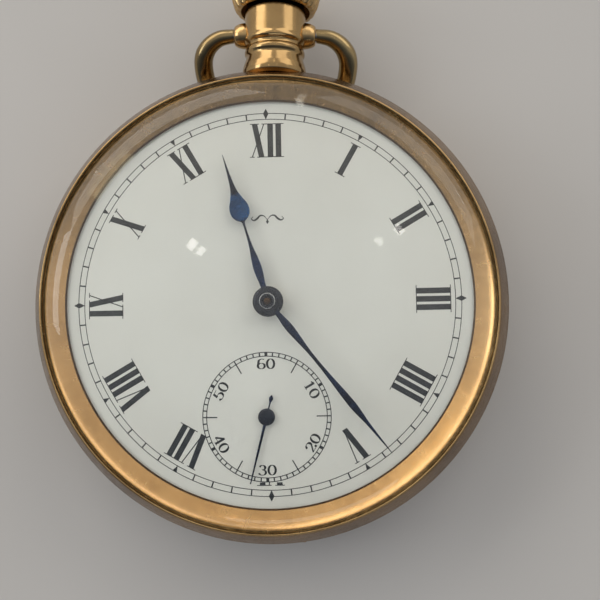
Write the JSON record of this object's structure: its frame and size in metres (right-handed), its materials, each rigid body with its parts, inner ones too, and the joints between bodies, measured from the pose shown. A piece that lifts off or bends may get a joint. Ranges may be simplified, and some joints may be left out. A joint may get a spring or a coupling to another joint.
{
  "type": "pocket watch",
  "caption": "Gold open-face pocket watch with Roman numerals, small seconds at six, crown winding, folding bow and hinged back covers.",
  "frame": {"origin": "centre of the flat on the back cover's outer face", "axes": "+Z out of the dial, +Y from the dial's centre to the pendant at 12 o'clock, +X to 3 o'clock"},
  "size_m": [0.05, 0.0642, 0.0139],
  "materials": {
    "gold": "polished, worn gold plate",
    "brass": "gilt brass, satin",
    "nickel": "nickel silver with striping",
    "steel": "polished and straight-grained steel",
    "blued_steel": "heat-blued polished steel",
    "enamel": "white enamel",
    "ruby": "polished synthetic ruby",
    "crystal": "clear, lightly scratched"
  },
  "bodies": {
    "case": {"case_middle": "gold", "pendant": "gold", "bezel": "gold", "crystal": "crystal", "back_hinge_pin": "gold", "inner_hinge_pin": "gold", "dial": "enamel", "main_plate": "nickel", "barrel_bridge": "nickel", "train_bridge": "nickel", "balance_cock": "nickel", "pallet_bridge": "nickel", "mainspring": "steel", "hairspring": "blued_steel", "click_spring": "steel", "crown_wheel_screw": "blued_steel", "click_screw": "blued_steel", "barrel_bridge_screw_1": "blued_steel", "barrel_bridge_screw_2": "blued_steel", "barrel_bridge_screw_3": "blued_steel", "train_bridge_screw_1": "blued_steel", "train_bridge_screw_2": "blued_steel", "cock_screw": "blued_steel", "jewel_third": "ruby", "jewel_fourth": "ruby", "jewel_escape": "ruby", "jewel_balance": "ruby"},
    "back": {"back_cover": "gold"},
    "inner_back": {"inner_cover": "gold"},
    "bow_ring": {"bow": "gold"},
    "stem_slide": {"setting_stud": "steel"},
    "crown_and_stem": {"crown": "gold", "winding_stem": "steel"},
    "castle_wheel": {"sliding_pinion": "steel"},
    "yoke_arm": {"yoke": "steel"},
    "lever_arm": {"setting_lever": "steel"},
    "winder": {"winding_pinion": "steel"},
    "crown_gear": {"crown_wheel": "steel"},
    "ratchet": {"ratchet_wheel": "steel", "ratchet_screw": "blued_steel", "barrel_arbor": "steel"},
    "click_lever": {"click": "steel"},
    "mainspring_barrel": {"barrel": "brass", "barrel_lid": "brass"},
    "centre": {"center_wheel": "brass", "cannon_pinion": "steel", "minute_hand": "blued_steel"},
    "minute_work": {"minute_wheel": "brass"},
    "setting_gear": {"setting_wheel": "steel"},
    "idler": {"setting_idler": "steel"},
    "hour": {"hour_wheel": "brass", "hour_hand": "blued_steel"},
    "third": {"third_wheel": "brass"},
    "fourth": {"fourth_wheel": "brass", "second_hand": "blued_steel"},
    "escape": {"escape_wheel": "steel"},
    "lever": {"pallet_fork": "steel"},
    "balance": {"balance_wheel": "brass"},
    "index": {"regulator": "steel"}
  },
  "joints": [
    {"name": "back_open", "type": "hinge", "parent": "case", "child": "back", "pos_m": [0, -0.02475, 0.0053], "axis": [-1, 0, 0], "range_deg": [0, 100]},
    {"name": "inner_open", "type": "hinge", "parent": "case", "child": "inner_back", "pos_m": [0, -0.0215, 0.0052], "axis": [-1, 0, 0], "range_deg": [0, 92]},
    {"name": "bow_swing", "type": "hinge", "parent": "case", "child": "bow_ring", "pos_m": [0, 0.02945, 0.007], "axis": [1, 0, 0], "range_deg": [0, 280]},
    {"name": "stem_pull", "type": "slide", "parent": "case", "child": "stem_slide", "axis": [0, 1, 0], "range_m": [0, 0.0008]},
    {"name": "crown_turn", "type": "hinge", "parent": "stem_slide", "child": "crown_and_stem", "pos_m": [0, 0.035, 0.007], "axis": [0, 1, 0], "continuous": true},
    {"name": "castle_slide", "type": "slide", "parent": "case", "child": "yoke_arm", "axis": [0, -1, 0], "range_m": [0, 0.0008]},
    {"name": "castle_turn", "type": "hinge", "parent": "yoke_arm", "child": "castle_wheel", "pos_m": [0, 0.014, 0.007], "axis": [0, 1, 0], "continuous": true},
    {"name": "lever_turn", "type": "hinge", "parent": "case", "child": "lever_arm", "pos_m": [-0.0052, 0.0145, 0.00865], "axis": [0, 0, 1], "range_deg": [0, 7]},
    {"name": "winder_turn", "type": "hinge", "parent": "case", "child": "winder", "pos_m": [0, 0.0163, 0.007], "axis": [0, 1, 0], "continuous": true},
    {"name": "crown_gear_turn", "type": "hinge", "parent": "case", "child": "crown_gear", "pos_m": [0, 0.0124, 0.0035], "axis": [0, 0, 1], "continuous": true},
    {"name": "ratchet_turn", "type": "hinge", "parent": "case", "child": "ratchet", "pos_m": [0.0078, 0.00535, 0.0035], "axis": [0, 0, 1], "continuous": true},
    {"name": "click_lift", "type": "hinge", "parent": "case", "child": "click_lever", "pos_m": [0.0153, 0.0081, 0.0035], "axis": [0, 0, -1], "range_deg": [0, 10], "stiffness_Nm_per_rad": 0.00002},
    {"name": "fourth_turn", "type": "hinge", "parent": "case", "child": "fourth", "pos_m": [0, -0.0118, 0.0056], "axis": [0, 0, -1], "continuous": true},
    {"name": "third_turn", "type": "hinge", "parent": "case", "child": "third", "pos_m": [-0.00227, -0.00636, 0.0066], "axis": [0, 0, -1], "continuous": true},
    {"name": "centre_turn", "type": "hinge", "parent": "case", "child": "centre", "pos_m": [0, 0, 0.0052], "axis": [0, 0, -1], "continuous": true},
    {"name": "minute_work_turn", "type": "hinge", "parent": "case", "child": "minute_work", "pos_m": [-0.0012, 0.00339, 0.0082], "axis": [0, 0, -1], "continuous": true},
    {"name": "setting_turn", "type": "hinge", "parent": "case", "child": "setting_gear", "pos_m": [0, 0.00742, 0.0082], "axis": [0, 0, -1], "continuous": true},
    {"name": "idler_turn", "type": "hinge", "parent": "case", "child": "idler", "pos_m": [0, 0.01028, 0.0082], "axis": [0, 0, -1], "continuous": true},
    {"name": "hour_turn", "type": "hinge", "parent": "case", "child": "hour", "pos_m": [0, 0, 0.0089], "axis": [0, 0, -1], "continuous": true},
    {"name": "barrel_turn", "type": "hinge", "parent": "case", "child": "mainspring_barrel", "pos_m": [0.0078, 0.00535, 0.0066], "axis": [0, 0, -1], "continuous": true},
    {"name": "escape_turn", "type": "hinge", "parent": "case", "child": "escape", "pos_m": [-0.0045, -0.01358, 0.0063], "axis": [0, 0, -1], "continuous": true},
    {"name": "lever_rock", "type": "hinge", "parent": "case", "child": "lever", "pos_m": [-0.00627, -0.01061, 0.0063], "axis": [0, 0, 1], "range_deg": [-5, 5]},
    {"name": "balance_swing", "type": "hinge", "parent": "case", "child": "balance", "pos_m": [-0.0102, -0.004, 0.0046], "axis": [0, 0, 1], "range_deg": [-270, 270], "stiffness_Nm_per_rad": 0.0000004},
    {"name": "index_turn", "type": "hinge", "parent": "case", "child": "index", "pos_m": [-0.0102, -0.004, 0.0028], "axis": [0, 0, 1], "range_deg": [-15, 15]}
  ],
  "couplings": [
    {"joint": "inner_open", "follows": "back_open", "ratio": 0.9},
    {"joint": "castle_slide", "follows": "stem_pull", "ratio": 1},
    {"joint": "castle_turn", "follows": "crown_turn", "ratio": 1},
    {"joint": "lever_turn", "follows": "stem_pull", "rad_per_m": 150},
    {"joint": "winder_turn", "follows": "crown_turn", "ratio": 1},
    {"joint": "crown_gear_turn", "follows": "crown_turn", "ratio": 0.41667},
    {"joint": "ratchet_turn", "follows": "crown_turn", "ratio": -0.27778},
    {"joint": "third_turn", "follows": "fourth_turn", "ratio": -0.13333},
    {"joint": "centre_turn", "follows": "fourth_turn", "ratio": 0.016667},
    {"joint": "minute_work_turn", "follows": "fourth_turn", "ratio": -0.0055556},
    {"joint": "setting_turn", "follows": "fourth_turn", "ratio": 0.01},
    {"joint": "idler_turn", "follows": "fourth_turn", "ratio": -0.0083333},
    {"joint": "hour_turn", "follows": "fourth_turn", "ratio": 0.0013889},
    {"joint": "barrel_turn", "follows": "fourth_turn", "ratio": -0.0020833},
    {"joint": "escape_turn", "follows": "fourth_turn", "ratio": -10}
  ]
}
